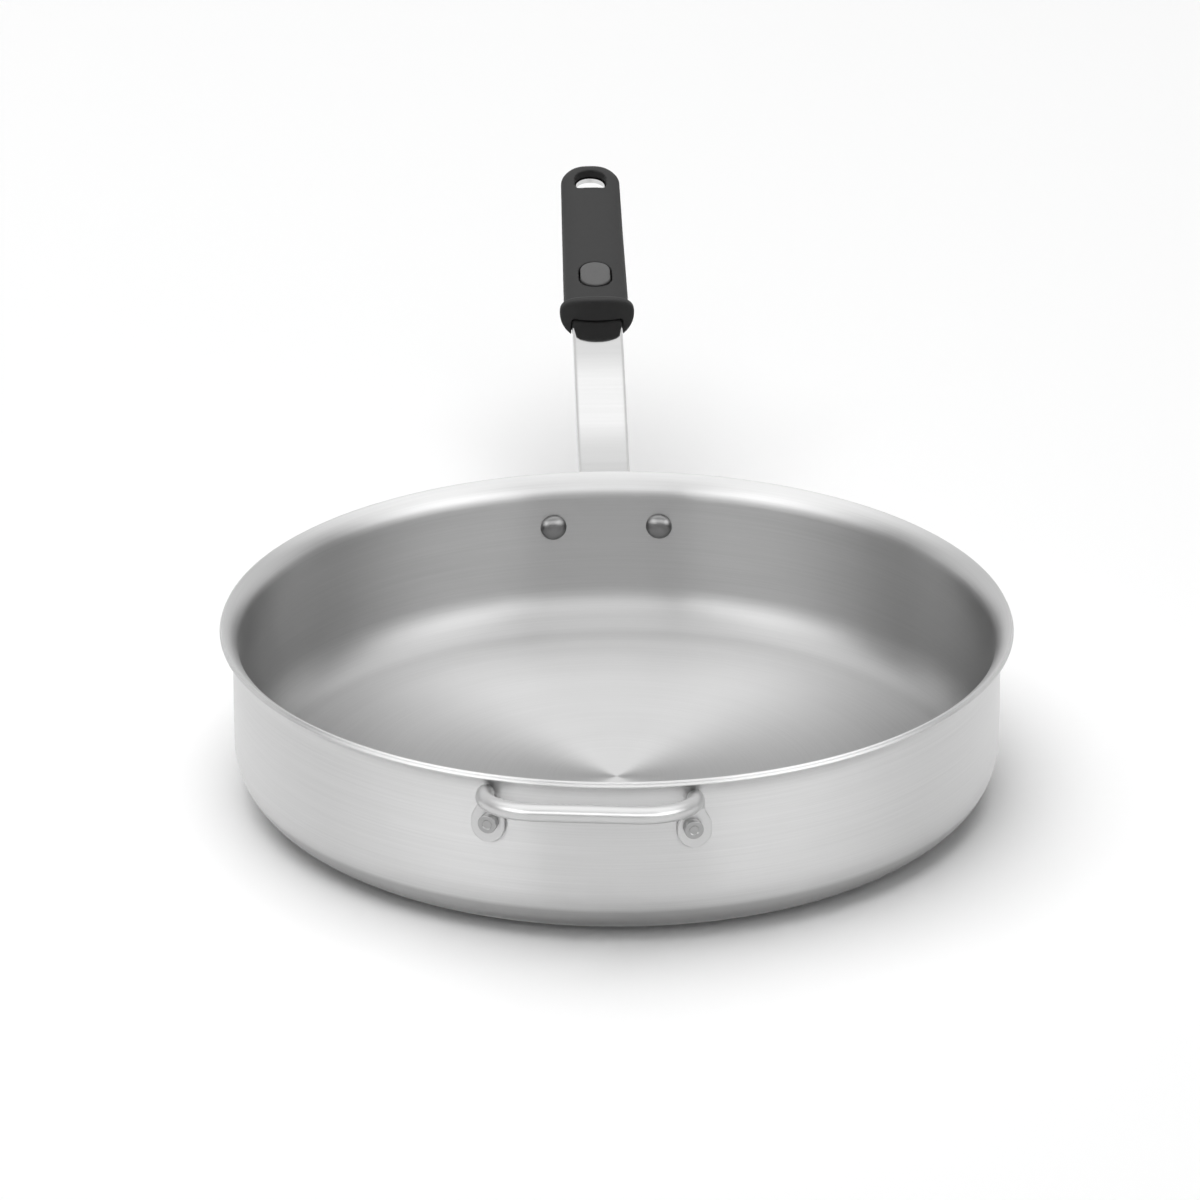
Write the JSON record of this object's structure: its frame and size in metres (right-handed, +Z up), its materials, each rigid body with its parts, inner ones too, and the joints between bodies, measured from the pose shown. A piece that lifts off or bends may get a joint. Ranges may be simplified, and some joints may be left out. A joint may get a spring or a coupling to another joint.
{
  "type": "saute pan",
  "caption": "Wide straight-sided clad saute pan with a flared lip, a riveted strap handle carrying a lock-on silicone grip, and a bent-rod helper handle opposite.",
  "frame": {"origin": "centre of the pan's flat base, on the pan's axis, at the surface it stands on", "axes": "+Z up along the pan's axis, +Y out along the long handle, +X to the right seen from the helper handle"},
  "size_m": [0.334, 0.6308, 0.1209],
  "materials": {
    "clad_steel": "satin, brushed round the axis",
    "strap_steel": "bright satin",
    "rod_steel": "satin",
    "rivet_steel": "satin",
    "spring_steel": "plain rolled strip",
    "silicone": "matte moulded silicone",
    "button_plastic": "matte moulded"
  },
  "bodies": {
    "pan": {"pan_body": "clad_steel", "handle_strap": "strap_steel", "handle_rivet_left": "rivet_steel", "handle_rivet_right": "rivet_steel", "grip_sleeve": "silicone", "lock_spring": "spring_steel", "spring_rivet": "rivet_steel", "helper_handle": "rod_steel", "helper_rivet_left": "rivet_steel", "helper_rivet_right": "rivet_steel"},
    "button": {"lock_button": "button_plastic"}
  },
  "joints": [
    {"name": "button_press", "type": "slide", "parent": "pan", "child": "button", "axis": [0, 0.1736, -0.9848], "range_m": [0, 0.0046], "stiffness_N_per_m": 1500, "springref_m": -0.001, "deforming": ["lock_spring"]}
  ]
}
